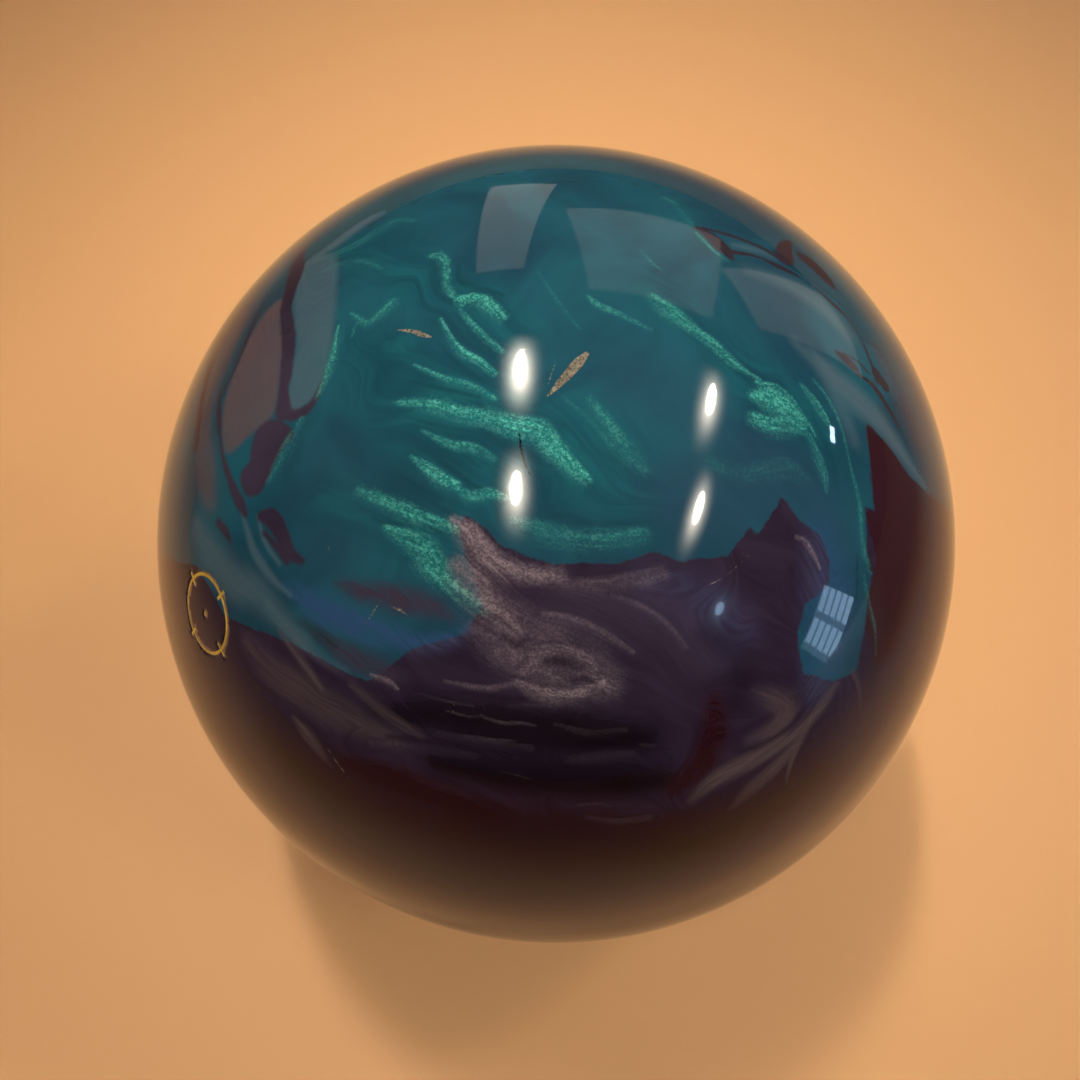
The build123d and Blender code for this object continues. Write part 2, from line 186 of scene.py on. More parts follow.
emerald_marks = [
    (0.9, [(-15.6, 34.2, 0.5), (-14, 33.8, 0.8), (-13.2, 32, 0.8), (-12.9, 30, 0.6),
           (-12.2, 28.2, 0.6), (-10.8, 26.6, 0.6)]),
    (1, [(-11.5, 27, 0.5), (-10, 27.4, 0.9), (-8.2, 27, 1.1), (-7, 25.8, 1.0), (-6, 24.4, 0.6)]),
    (0.7, [(-10.8, 25.6, 0.4), (-9.4, 23.8, 0.6), (-7.8, 22, 0.7), (-6, 20.4, 0.5)]),
    (0.8, [(-13, 24.5, 0.3), (-11.5, 22, 0.5), (-10, 20.3, 0.7), (-8.5, 19.4, 0.7),
           (-6.6, 17.8, 0.5)]),
    (0.6, [(-15.5, 19, 0.3), (-12, 17.4, 0.6), (-9, 16.4, 0.6), (-6.5, 15, 0.5)]),
    (0.9, [(-17, 14.8, 0.5), (-13, 14.6, 1.0), (-10, 13.6, 1.1), (-7, 13.2, 1.3),
           (-4, 12.4, 1.6), (-1.5, 11.8, 1.8), (0, 10.2, 1.6), (1.6, 8.4, 1.3), (3.2, 6.8, 0.9)]),
    (0.7, [(-14, 11.6, 0.3), (-11, 10.2, 0.6), (-8.5, 9.8, 0.7), (-6.3, 8.6, 0.5)]),
    (0.9, [(-15, 8.8, 0.3), (-13, 7.6, 0.8), (-11.5, 6.6, 1.0), (-10, 6, 0.6)]),
    (0.8, [(-10, 5.6, 0.4), (-8.5, 4.9, 0.8), (-6.5, 5.2, 0.7), (-5, 4.6, 0.5)]),
    (0.85, [(-21, 5.4, 0.5), (-18, 4.4, 1.1), (-14.5, 3, 1.2), (-12, 2.2, 1.1),
            (-10, 1.6, 0.8)]),
    (1, [(-17.5, 1.4, 0.5), (-15, 0.6, 1.2), (-13, -0.4, 1.8), (-11.8, -2, 1.9),
         (-10.4, -3.8, 1.4), (-8.6, -5.4, 1.0), (-6.8, -6.8, 0.5)]),
    (0.8, [(-27.6, 16, 0.3), (-27, 17.6, 0.6), (-26.6, 19.5, 0.8), (-26.3, 22, 0.7),
           (-26.2, 25, 0.4)]),
    (0.6, [(-24.6, 26.8, 0.3), (-23.3, 25.8, 0.6), (-22, 25.2, 0.7), (-20.8, 26.4, 0.9),
           (-19.6, 27.6, 0.9)]),
    (0.4, [(-23.6, 25, 0.3), (-23.8, 23.4, 0.3)]),
    (0.35, [(-2.4, 30.6, 0.2), (-1, 28, 0.3), (0.6, 25.4, 0.3), (2.2, 23.2, 0.2)]),
    (0.45, [(-33.6, 6.4, 0.5), (-32.4, 8.5, 1.0), (-31, 11, 1.2), (-29.4, 13.6, 0.6)]),
    (0.7, [(3.2, 27.4, 0.3), (4.2, 26.4, 0.6), (6, 25.6, 0.5), (8, 24.6, 0.4), (10, 23.6, 0.3)]),
    (0.8, [(10.6, 28, 0.8), (12, 26.8, 1.3), (13.6, 25.6, 1.3), (15.5, 24, 0.9),
           (17.5, 22.6, 1.1), (19, 21, 1.0), (20.6, 19.9, 0.5), (22.5, 18.9, 0.4)]),
    (1, [(21.4, 17, 0.8), (23, 17.4, 1.6), (24.8, 16.6, 2.2), (26.6, 15.4, 1.8),
         (27.8, 14, 0.9)]),
    (0.85, [(21.4, 14.4, 1.0), (23.4, 14, 1.4), (25.6, 14, 1.3), (27.6, 13.8, 0.7)]),
    (0.9, [(22, 18.5, 0.3), (24.5, 18.3, 0.5), (26.6, 16.9, 0.4), (28.4, 14.7, 0.3),
           (29.4, 13, 0.2)]),
    (0.85, [(28.2, 19, 0.4), (29.8, 17.5, 0.7), (31, 15.9, 0.7), (31.9, 14.2, 0.4)]),
    (0.5, [(30, 20, 0.25), (31.4, 18.6, 0.3), (33, 16, 0.35), (34, 13, 0.35), (34.6, 10, 0.35),
           (35.4, 7.6, 0.5), (36, 5, 0.6), (36.2, 2, 0.5), (37, -0.6, 0.6), (38, -2.6, 0.4)]),
    (0.45, [(28.6, 13, 0.6), (29.8, 10.6, 0.9), (30.6, 8.4, 0.8), (30.8, 6.6, 0.4)]),
    (0.5, [(3.6, 15, 0.6), (5.6, 12.4, 1.0), (7.6, 9.8, 1.3), (9.2, 7.8, 0.7)]),
    (0.4, [(0.6, 15.2, 0.2), (3.4, 12.8, 0.35), (5.6, 10, 0.3)]),
    (0.5, [(13.2, 46.2, 0.5), (14.6, 45.6, 0.7), (15.6, 43.6, 0.5), (16.6, 41, 0.5)]),
    (0.6, [(17, 39.4, 0.3), (18, 37.8, 0.5), (19, 36.4, 0.5), (20.6, 35.2, 0.3)]),
    (0.4, [(9.4, 34.8, 0.2), (10.6, 33, 0.35), (11.7, 31.9, 0.2)]),
    (0.45, [(-4, 2.4, 1.0), (0, 1.4, 1.6), (4.5, 1.0, 1.6), (9, 1.4, 1.0)]),
    (0.3, [(-33, 38, 0.5), (-29, 38.6, 1.2), (-26, 40, 1.2), (-22, 42.4, 0.9),
           (-19, 41.4, 0.5)]),
    (0.3, [(-31, 35.2, 0.5), (-28, 36, 1.1), (-25, 35.2, 1.1), (-22, 33.4, 0.6)]),
    (0.25, [(16, 9, 1), (20, 8.4, 1.4), (25, 9.4, 1.6), (28, 8, 1.0)]),
    (0.4, [(36.8, -3, 0.4), (37.8, -6, 0.6), (39.6, -9.6, 0.5), (40.4, -13, 0.3)]),
]  # fmt: skip

mauve_marks = [
    (0.35, [(-9, -3, 2), (-4, -7, 4), (2, -10, 4.5), (6, -13, 3)]),
    (0.9, [(-10, 2.3, 0.8), (-8.4, 1.3, 1.5), (-7, -0.4, 1.8), (-5, -1.9, 1.7), (-2, -2.8, 1),
           (1, -2.7, 0.5)]),
    (0.6, [(-9.6, -2.2, 1.2), (-7.6, -4, 2), (-5.6, -6.4, 1.6), (-3.6, -8.2, 1.1)]),
    (0.4, [(-2, -3.2, 0.8), (3, -3.8, 1.1), (7, -3.4, 1.2), (11, -2.6, 1)]),
    (0.45, [(-1, -7, 0.3), (2, -7.3, 0.5), (5, -8.6, 0.6), (8.4, -10.8, 0.4)]),
    (0.3, [(6, -5, 0.3), (9, -6, 0.5), (12, -8, 0.5), (14, -10.4, 0.4)]),
    (0.32, [(-7, -9, 1.6), (-3, -11.6, 2.6), (2, -13.4, 2.8), (6, -14.6, 1.6)]),
    (0.35, [(-3, -13, 0.9), (-1.9, -11.3, 0.9), (0, -10.6, 0.7), (2, -10.6, 0.8),
           (3.8, -11.4, 0.7), (4.7, -12.8, 0.4)]),
    (0.7, [(-3.4, -14.2, 0.6), (-1, -15.1, 1), (1.5, -15.3, 1), (3.6, -14.8, 0.7),
           (5.4, -14, 0.4)]),
    (0.5, [(-11, -14.6, 0.3), (-7, -15, 0.5), (-3.5, -14.4, 0.4)]),
    (0.7, [(-19.4, -14.6, 0.3), (-17.4, -15, 0.5), (-16.4, -15.9, 0.3)]),
    (0.6, [(26.4, 1.4, 0.3), (27.6, 1, 0.5), (28.8, -0.4, 0.5), (29.8, -2, 0.3)]),
]  # fmt: skip
# Those near the foot of the ball, which are fainter and finer by the two numbers below
low_mauve_marks = [
    (1, [(-7, -18.4, 0.2), (-5, -18.9, 0.35), (-3, -18.8, 0.35), (-1.5, -19.1, 0.2)]),
    (0.7, [(-14, -16.2, 0.2), (-11, -16.8, 0.3), (-8, -17.2, 0.2)]),
    (0.7, [(-11, -18, 0.2), (-8.5, -18.4, 0.3), (-7, -18.2, 0.15)]),
    (0.5, [(-4.6, -17, 0.3), (-2, -16.7, 0.4), (0.6, -17, 0.3)]),
    (0.4, [(-12, -20.6, 0.4), (-7, -21, 0.7), (-2, -21.6, 0.7)]),
    (0.6, [(-9, -20.8, 0.3), (-6, -21, 0.4), (-3.6, -20.9, 0.2)]),
    (0.7, [(-5.2, -24.9, 0.15), (-3.6, -25.2, 0.25), (-1.6, -25.8, 0.15)]),
    (0.4, [(2, -23, 0.8), (6, -22.4, 1.1), (9, -22.2, 0.6)]),
    (0.6, [(9.8, -21.2, 0.3), (11.2, -21.5, 0.4)]),
    (0.5, [(3.4, -29, 0.3), (5.6, -28.8, 0.4), (7, -29.2, 0.3)]),
    (0.5, [(4.6, -30.8, 0.5), (8, -31.4, 0.9), (11.6, -31, 0.9)]),
    (0.3, [(-15, -27, 0.3), (-11, -27.6, 0.3), (-8.5, -28.6, 0.2)]),
    (0.35, [(-20, -23, 0.8), (-14, -22.4, 1.4), (-8, -23, 0.8)]),
    (0.5, [(17, -34, 0.4), (19, -34, 0.5), (19.8, -34.6, 0.3)]),
    (0.4, [(0.6, -18.8, 0.5), (4, -19.6, 0.8), (8, -19.4, 0.6)]),
]  # fmt: skip
low_strength, low_width = 0.37, 0.85
for strength, points in low_mauve_marks:
    finer = [(along, up, width * low_width) for along, up, width in points]
    mauve_marks.append((strength * low_strength, finer))

# Soft clouds of colour
silk_marks = [
    (0.7, [(-26, 24, 3), (-20, 20, 6), (-12, 14, 8), (-4, 8, 8), (2, 6, 5)]),
    (0.5, [(-18, 30, 4), (-12, 28, 5), (-6, 22, 5)]),
    (0.6, [(10, 29, 3), (16, 24, 3), (22, 18, 4.5), (28, 15, 4), (31, 10, 3)]),
    (0.5, [(-24, 4, 4), (-16, 2, 4), (-10, 0, 4)]),
    (0.4, [(-30, 40, 4), (-24, 36, 6), (-18, 34, 5)]),
    (0.4, [(2, 12, 4), (8, 8, 4), (8, 2, 3)]),
]  # fmt: skip

steel_marks = [
    (0.7, [(12, 6, 5), (18, 5, 6), (24, 8, 5), (32, 2, 5), (34, -6, 4), (33, -12, 3)]),
    (0.4, [(8, 18, 5), (14, 15, 5), (18, 12, 4)]),
    (0.3, [(-26, 8, 5), (-22, 2, 5), (-26, -4, 5)]),
]  # fmt: skip

blue_and_painted_reflection_marks = [
    # Painted reflection: this line tints the ball blue round the window's mirror image
    (0.6, [(29.5, 1, 3), (31.5, -7, 4.5), (31, -16, 3)]),
    (1, [(-30, -5.6, 0.8), (-26.5, -7.4, 1.9), (-23, -8.6, 2.1), (-19, -9.8, 1.9),
         (-15, -10.6, 1.4), (-11, -10.4, 1.1), (-8.4, -9, 0.6)]),
    # Painted reflection: this line tints the ball blue round the far window's mirror image
    (0.4, [(10, -4, 3), (15, -6, 4), (19, -9, 4)]),
]  # fmt: skip

smoke_marks = [
    (0.6, [(-35, 38), (-30, 37.6), (-27.6, 30), (-26.6, 22), (-27.4, 16.4), (-30.5, 14.6),
           (-32, 16), (-32, 23), (-34, 28), (-35.4, 33)]),
    (0.7, [(-36, 38, 1), (-32, 40, 1.4), (-28, 43.4, 1.5), (-25, 45, 0.9)]),
    (0.6, [(-47, 1, 2), (-43, -3, 3.2), (-39, -5.5, 3.2), (-35, -6.5, 2.8), (-31.5, -9, 2),
           (-28, -11.4, 1.5)]),
    (0.6, [(-37.6, 3, 0.3), (-36.4, 0.6, 0.6), (-35, -2, 0.8), (-32.4, -4.6, 0.7),
           (-29.6, -6.6, 0.4)]),
    (0.5, [(-34.8, 2.4, 0.3), (-33.4, -0.6, 0.5), (-31.2, -3, 0.4)]),
    (0.6, [(-33, -8, 0.8), (-29.6, -11, 1.0), (-26, -13.4, 0.8), (-22.6, -14.8, 0.5)]),
    (0.8, [(30.6, 24, 0.6), (33.5, 21, 1.8), (36.5, 18.8, 2.4), (40, 16.8, 2.2),
           (43.6, 14, 1.8), (47, 11.4, 1.5), (51, 8.8, 1.0)]),
    (0.45, [(23, 34.4, 1.2), (29, 33.8, 1.9), (34, 31.8, 2.3), (38, 28.6, 2)]),
    (0.5, [(22, 38.5, 0.6), (25.6, 38.6, 0.7), (28.2, 38, 0.4)]),
    (0.4, [(28, 24.6, 1), (31.4, 21.6, 1.4), (33.6, 17.6, 1.4), (35.6, 13, 1.2)]),
    (0.5, [(38.6, -4, 0.8), (40, -8, 1.2), (41, -11, 0.8)]),
]  # fmt: skip

mist_marks = [
    (0.5, [(22.4, -15.6, 0.6), (25, -16.8, 1.6), (27, -18.4, 2), (25.6, -20.6, 1.6),
           (22.6, -21.8, 0.9)]),
    (0.9, [(33.8, -16, 0.5), (31.8, -18.8, 0.9), (28.8, -21.6, 1.0), (25, -23.6, 1.3),
           (21.6, -25.2, 1.5), (18.6, -26.8, 1.3), (16.4, -29.2, 0.6)]),
    (0.8, [(31, -20, 0.4), (29.4, -23, 0.9), (27, -26, 1.3), (24, -29, 1.4),
           (21.6, -31.6, 0.6)]),
    (0.8, [(29.9, -23, 0.25), (29.1, -26, 0.45), (29.3, -30.6, 0.25)]),
    (0.5, [(36.4, -14.6, 0.4), (38, -17, 0.35), (39.6, -21, 0.25)]),
    (0.45, [(-37, -13, 1.6), (-33, -16, 2.6), (-27, -18.6, 3), (-22, -20.5, 2.4),
            (-17, -22, 1.4)]),
    (0.6, [(-31.4, -11, 0.4), (-28.6, -13.8, 0.8), (-26, -17, 0.5)]),
    (0.8, [(-30.6, -21.6, 0.4), (-29, -23.4, 1.1), (-27.6, -25.4, 1.0), (-26.2, -27.4, 0.4)]),
    (0.4, [(-22, -16, 0.6), (-18, -19, 0.8), (-14, -21.4, 0.6)]),
]  # fmt: skip

violet_marks = [
    (0.8, [(-26, -10.8, 0.8), (-22, -12.8, 1.8), (-18.5, -13.9, 1.7), (-15.6, -14.6, 0.9)]),
    (0.9, [(-23, -4.8, 0.8), (-20, -5.6, 1.4), (-16, -6.2, 1.8), (-12.5, -6.8, 1.4),
           (-10.6, -7.8, 0.6)]),
    (0.5, [(2, -6, 3), (7, -7, 4), (12, -8, 4), (15, -12, 3)]),
]  # fmt: skip

# Warm grey lobes, and near black bands; the lowest band is painted shade at the ball's foot
haze_marks = [
    (0.7, [(-40, 31), (-37.6, 32), (-36.6, 29), (-34.4, 24), (-33.6, 18), (-34, 14.4),
           (-37, 12.6), (-41, 10.4), (-43, 13), (-44, 18), (-42.6, 25), (-41.6, 28)]),
    (0.6, [(-46, 32, 2), (-48, 24, 3), (-49, 16, 3), (-46, 8, 3), (-44, 4, 1.6)]),
    (0.4, [(44, 28, 2), (47, 22, 3), (50, 16, 3)]),
]  # fmt: skip

ink_and_painted_shade_marks = [
    (0.9, [(-20, -19.6, 1.6), (-12, -18.6, 3.4), (-4, -19.4, 4), (4, -20, 4), (10, -20.6, 3)]),
    (0.9, [(-12, -24.6, 2.4), (-4, -25.4, 3.4), (6, -26, 3.4), (13, -26, 2.4)]),
    # Painted shade: this lowest band darkens the foot of the ball's facing side
    (0.8, [(-10, -34, 4), (4, -35, 5), (18, -36, 4)]),
    (0.5, [(16, -9, 2), (20.6, -12, 2.6), (20, -17, 2)]),
]  # fmt: skip

wine_and_painted_shade_marks = [
    # Painted shade: this first, broad band darkens the foot of the ball's facing side; the rest are
    # the swirl's own dark red marks
    (0.8, [(-34, -28, 5), (-18, -32, 7), (0, -35, 8), (18, -35, 7), (34, -30, 6)]),
    (1, [(-24, -26.4, 1.2), (-18, -27.4, 2.2), (-12, -29.4, 2.2), (-6, -31, 1.6)]),
    (0.9, [(17.6, -16.6, 1.4), (18, -20, 2.2), (17, -24, 2.2), (14.6, -27, 1.8)]),
    (0.6, [(15, -32, 1.4), (19, -32.6, 1.8), (22, -33.4, 1.2)]),
    (0.5, [(-28, -9.4, 0.6), (-26, -10.6, 1.0), (-24, -11.6, 0.7)]),
]  # fmt: skip

# Damage: chips where the polish is gone, and a hairline crack
scuff_marks = [
    (1, [(-1, 15.2, 0.12), (0, 16.4, 0.35), (1, 17.6, 0.5), (2, 18.9, 0.55), (2.9, 20, 0.3)]),
    (1, [(-1.1, 16.2, 0.06), (-0.7, 17.6, 0.08), (-0.3, 19, 0.05)]),
    (1, [(-18, 23.5, 0.12), (-16.4, 23.2, 0.25), (-15.2, 22.7, 0.3), (-14.1, 22.3, 0.15)]),
    (1, [(-19.9, -9, 0.06), (-19, -7.8, 0.12), (-18.1, -6.4, 0.06)]),
    (1, [(-17, -6.9, 0.08), (-16, -7.3, 0.16), (-15, -7.9, 0.08)]),
    (1, [(-26.6, -24, 0.06), (-25, -26.8, 0.08), (-23, -29.5, 0.05)]),
    (1, [(-24.9, 0, 0.06), (-24.2, -1.6, 0.06)]),
    (1, [(-10.1, -16.4, 0.05), (-10.3, -18.4, 0.05)]),
    (1, [(16, -4, 0.05), (18.2, -2.8, 0.06), (20.4, -0.8, 0.04)]),
]  # fmt: skip
crack_marks = [
    (1, [(-3.9, 12, 0.06), (-3.6, 9.6, 0.16), (-3, 7.6, 0.12), (-2.5, 6.6, 0.05)]),
]  # fmt: skip

crisp_layers = {
    "plum": plum_marks,
    "maroon": maroon_marks,
    "scuff": scuff_marks,
    "crack": crack_marks,
}
soft_layers = {
    "crease_and_painted_shade": crease_and_painted_shade_marks,
    "silk": silk_marks,
    "steel": steel_marks,
    "blue_and_painted_reflection": blue_and_painted_reflection_marks,
    "violet": violet_marks,
    "haze": haze_marks,
    "ink_and_painted_shade": ink_and_painted_shade_marks,
    "smoke": smoke_marks,
    "mist": mist_marks,
    "wine_and_painted_shade": wine_and_painted_shade_marks,
}
pearl_layers = {"emerald": emerald_marks, "mauve": mauve_marks}
damage = ("scuff", "crack")  # the first chart's own

shore_reach = 12  # degrees from the shoreline to which its distance is kept
crisp_reach = 1.5  # the same for a crisp mark's edge
patch_softness = 1.2  # degrees over which a soft patch fades
fade_inside, fade_width = 0.3, 1.1  # of a soft line, in half widths
sharp_side, feathered_side = 0.7, 1.9  # of a pearl line, in half widths
flow_heading = radians(-32)  # the way in which most of the swirl runs
flow_reach = 9  # degrees from a line within which the flow bends to follow it
flow_softness = 0.6  # degrees, so that a line doesn't take over wholly
plain_flow = 1e-4  # the pull of the plain heading, against that of the lines
batch = 4000  # places handled at once, to save memory
least_weight = 0.001  # a chart with less than this at a place is left out there


def smooth_line(points, closed=False, spacing=0.25):
    """Points along a smooth curve through the given ones, each about spacing degrees on."""
    given = np.array(points, float)
    if closed:
        given = np.vstack([given, given[:1]])
        ends = np.vstack([given[-2], given, given[1]])
    else:
        ends = np.vstack([2 * given[0] - given[1], given, 2 * given[-1] - given[-2]])
    line = []
    for before, start, end, after in zip(ends, ends[1:], ends[2:], ends[3:]):
        steps = max(2, int(np.hypot(*(end - start)[:2]) / spacing))
        t = (np.arange(steps) / steps)[:, None]
        rise = (end - before) * t
        bend = (2 * before - 5 * start + 4 * end - after) * t**2
        turn = (3 * start - before - 3 * end + after) * t**3
        line.append(start + 0.5 * (rise + bend + turn))
    line.append(given[-1:])
    return np.vstack(line)


def nearest_on_line(places, line):
    """For each place, its nearest point's number, the step from it and the distance to it."""
    best = np.empty(len(places), int)
    for some in np.array_split(np.arange(len(places)), len(places) // batch + 1):
        step = places[some, None] - line[None, :, :2]
        best[some] = (np.hypot(step[..., 0], step[..., 1]) - line[:, 2]).argmin(1)
    step = places - line[best, :2]
    return best, step, np.hypot(*step.T)


def close_to(places, line, margin):
    """Numbers of the places in the box round the line, with that margin."""
    low, high = line[:, :2].min(0) - margin, line[:, :2].max(0) + margin
    return np.flatnonzero(((places > low) & (places < high)).all(1))


def line_rise(places, mark, reach=crisp_reach):
    """Who is close enough to the line, and how deep inside its edge in degrees."""
    line = smooth_line(mark)
    near = close_to(places, line, line[:, 2].max() + reach)
    best, _, gap = nearest_on_line(places[near], line)
    return near, line[best, 2] - gap


def patch_rise(places, corners, reach=crisp_reach):
    """The same for a patch with that outline."""
    outline = smooth_line([(*corner, 0) for corner in corners], closed=True)[:, :2]
    near = close_to(places, outline, reach)
    return near, depth_inside(places[near], outline)


def depth_inside(places, corners):
    """How far each place is inside the outline, in degrees: negative outside it."""
    inside = np.zeros(len(places), bool)
    nearest = np.full(len(places), 1e9)
    x, y = places.T
    for (x0, y0), (x1, y1) in zip(corners, np.roll(corners, -1, 0)):
        side = np.array([x1 - x0, y1 - y0])
        length = max(side @ side, 1e-9)
        along = (((x - x0) * side[0] + (y - y0) * side[1]) / length).clip(0, 1)
        gap = np.hypot(x - x0 - along * side[0], y - y0 - along * side[1])
        nearest = np.minimum(nearest, gap)
        if y0 != y1:
            crosses = (y0 > y) != (y1 > y)
            inside ^= crosses & (x < (x1 - x0) * (y - y0) / (y1 - y0) + x0)
    return np.where(inside, nearest, -nearest)


def mark_rise(places, points):
    """The same for either kind of mark: a line's points have a width, a patch's have none."""
    return (line_rise if len(points[0]) == 3 else patch_rise)(places, points)


def ease(value):
    """From 0 to 1 along a smooth slope."""
    value = value.clip(0, 1)
    return value * value * (3 - 2 * value)


def crisp_layer(places, marks):
    """Depth inside the layer's nearest mark, in degrees."""
    depth = np.full(len(places), -crisp_reach)
    for _, points in marks:
        near, rise = mark_rise(places, points)
        depth[near] = np.maximum(depth[near], rise.clip(-crisp_reach, crisp_reach))
    return depth


def soft_layer(places, marks):
    """Amount of the layer from 0 to 1, fading out across each line or at each patch's edge."""
    clear = np.ones(len(places))
    for strength, points in marks:
        near, rise = mark_rise(places, points)
        if len(points[0]) == 3:
            width = max(width for _, _, width in points)
            amount = ease((rise + fade_inside * width) / (fade_width * width))
        else:
            amount = ease(rise / patch_softness + 0.5)
        clear[near] *= 1 - strength * amount
    return 1 - clear


def pearl_layer(places, marks):
    """The same for pearl, whose lines are sharp on one side and feathered on the other."""
    clear = np.ones(len(places))
    for strength, points in marks:
        line = smooth_line(points)
        near = close_to(places, line, line[:, 2].max() * (1 + feathered_side))
        if not len(near):
            continue
        best, step, gap = nearest_on_line(places[near], line)
        ahead = np.gradient(line[:, :2], axis=0)[best]
        ahead /= np.maximum(np.hypot(*ahead.T), 1e-9)[:, None]
        across = (step[:, 0] * ahead[:, 1] - step[:, 1] * ahead[:, 0]) / np.maximum(gap, 1e-9)
        share = 0.5 + 0.5 * across.clip(-1, 1)
        span = line[best, 2] * (sharp_side + (feathered_side - sharp_side) * share)
        clear[near] *= 1 - strength * ease(1 - gap / span)
    return 1 - clear


def flow_map(places):
    """Along and across the swirl's flow at each place, in degrees, bent to follow its lines."""
    way = np.array([cos(flow_heading), sin(flow_heading)])
    side = np.array([way[1], -way[0]])
    total = np.full(len(places), plain_flow)
    along, across = total * (places @ way), total * (places @ side)
    guides = emerald_marks + mauve_marks + plum_marks[:2] + mist_marks + smoke_marks[3:]
    for _, points in guides:
        if len(points[0]) != 3:
            continue
        line = smooth_line(points, spacing=1.0)[:, :2]
        if (line[-1] - line[0]) @ way < 0:
            line = line[::-1]
        near = close_to(places, line, flow_reach)
        run = np.concatenate([[0], np.cumsum(np.hypot(*np.diff(line, axis=0).T))])
        best, step, gap = nearest_on_line(places[near], np.c_[line, np.zeros(len(line))])
        ahead = np.gradient(line, axis=0)[best]
        ahead /= np.maximum(np.hypot(*ahead.T), 1e-9)[:, None]
        share = (1 / (gap + flow_softness) ** 3) * ease(1 - gap / flow_reach)
        total[near] += share
        along[near] += share * (line[0] @ way + run[best] + (step * ahead).sum(1))
        beside = step[:, 0] * ahead[:, 1] - step[:, 1] * ahead[:, 0]
        across[near] += share * (line.mean(0) @ side + beside)
    return np.stack([along / total, across / total], 1)


def chart_weights(directions):
    """How much each chart counts at each direction: the first where it reaches, then the rest."""
    left = np.ones(len(directions))
    weights = []
    for chart in charts:
        away = chart.places(directions)[1]
        own = left * np.clip((chart_reach - away) / chart_blend, 0, 1)
        weights.append(own)
        left = left - own
    weights[-1] += left
    return weights


def paint(directions):
    """Every layer's value at each direction."""
    names = ["ground", *crisp_layers, *soft_layers, *pearl_layers]
    painted = {name: np.zeros(len(directions)) for name in names}
    painted["flow"] = np.zeros((len(directions), 3))
    for chart, weight in zip(charts, chart_weights(directions)):
        seen = np.flatnonzero(weight > least_weight)
        places = chart.places(directions[seen])[0]
        share = weight[seen]
        shore = depth_inside(places, np.array(shoreline, float)).clip(-shore_reach, shore_reach)
        painted["ground"][seen] += share * shore
        for name, marks in crisp_layers.items():
            own = chart is show or name not in damage
            depth = crisp_layer(places, marks) if own else -crisp_reach
            painted[name][seen] += share * depth
        for name, marks in soft_layers.items():
            painted[name][seen] += share * soft_layer(places, marks)
        for name, marks in pearl_layers.items():
            painted[name][seen] += share * pearl_layer(places, marks)
        painted["flow"][seen, :2] += share[:, None] * flow_map(places)
    return painted


# ---------------------------------------------------------------- the shell's skin

coarse_edge = 2.6 * MM  # longest edge on the hidden charts
middle_edge = 1.5 * MM  # on the show chart
fine_edge = 0.7 * MM  # along its thin lines
thin_width = 0.5  # degrees: a line with a half width below this is thin
thin_margin = 0.5  # degrees round it that are fine too
weld_distance = 0.001 * MM
touching = 0.02 * MM  # a corner this near to the ball's radius is on its outside
refine_rounds = 5
sharp_angle = radians(25)


def wanted_edges(directions):
    """Longest edge to keep at each direction: short where thin lines run."""
    wanted = np.full(len(directions), coarse_edge)
    places, away = show.places(directions)
    on_show = np.flatnonzero(away < chart_reach)
    wanted[on_show] = middle_edge
    for marks in (*crisp_layers.values(), *soft_layers.values(), *pearl_layers.values()):
        for _, points in marks:
            if len(points[0]) == 3 and min(width for _, _, width in points) < thin_width:
                near, rise = line_rise(places[on_show], points)
                wanted[on_show[near[rise > -thin_margin]]] = fine_edge
    return wanted


def outside_faces(bm):
    """The faces whose corners all lie on the ball's surface."""
    return [
        face
        for face in bm.faces
        if all(abs(vert.co.length - ball_radius) < touching for vert in face.verts)
    ]


def edges_between(faces):
    """The edges that only those faces share, in the mesh's own order."""
    kept = set(faces)
    edges = [
        edge
        for edge in {edge for face in faces for edge in face.edges}
        if all(face in kept for face in edge.link_faces)
    ]
    edges.sort(key=lambda edge: edge.index)
    return edges


def split_long_edges(bm):
    """Halves each outside edge that is too long, and says whether there was any."""
    edges = edges_between(outside_faces(bm))
    middles = np.array([(edge.verts[0].co + edge.verts[1].co) / 2 for edge in edges])
    middles /= np.linalg.norm(middles, axis=1)[:, None]
    lengths = np.array([edge.calc_length() for edge in edges])
    long = [edge for edge, over in zip(edges, lengths > wanted_edges(middles)) if over]
    if not long:
        return False
    made = bmesh.ops.subdivide_edges(bm, edges=long, cuts=1)
    for vert in (item for item in made["geom_inner"] if isinstance(item, bmesh.types.BMVert)):
        vert.co *= ball_radius / vert.co.length
    bmesh.ops.triangulate(bm, faces=[face for face in bm.faces if len(face.verts) > 3])
    bm.verts.index_update()
    bm.edges.index_update()
    bm.faces.index_update()
    return True


def paint_mesh(mesh):
    """Stores each layer of the swirl on the mesh, for its material to read."""
    corners = np.empty(len(mesh.vertices) * 3)
    mesh.vertices.foreach_get("co", corners)
    directions = corners.reshape(-1, 3)
    directions = directions / np.linalg.norm(directions, axis=1)[:, None]
    for name, values in paint(directions).items():
        kind = "FLOAT" if values.ndim == 1 else "FLOAT_VECTOR"
        layer = mesh.attributes.new(name, kind, "POINT")
        layer.data.foreach_set("value" if values.ndim == 1 else "vector", values.ravel())


def build_skin():
    """The shell's own mesh with a finer outside, so that the swirl's edges are crisp."""
    bm = bmesh.new()
    bm.from_mesh(nodes["coverstock"].data)
    bmesh.ops.remove_doubles(bm, verts=bm.verts, dist=weld_distance)
    bmesh.ops.triangulate(bm, faces=bm.faces)
    for _ in range(refine_rounds):
        if not split_long_edges(bm):
            break
    mesh = bpy.data.meshes.new("shell_skin")
    bm.to_mesh(mesh)
    bm.free()
    mesh.shade_smooth()
    mesh.set_sharp_from_angle(angle=sharp_angle)
    paint_mesh(mesh)
    return mesh


def new_piece(name, mesh, body):
    """A piece of the looks that rides a body."""
    piece = bpy.data.objects.new(name, mesh)
    bpy.context.scene.collection.objects.link(piece)
    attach(piece, body)
    return piece


# ---------------------------------------------------------------- materials


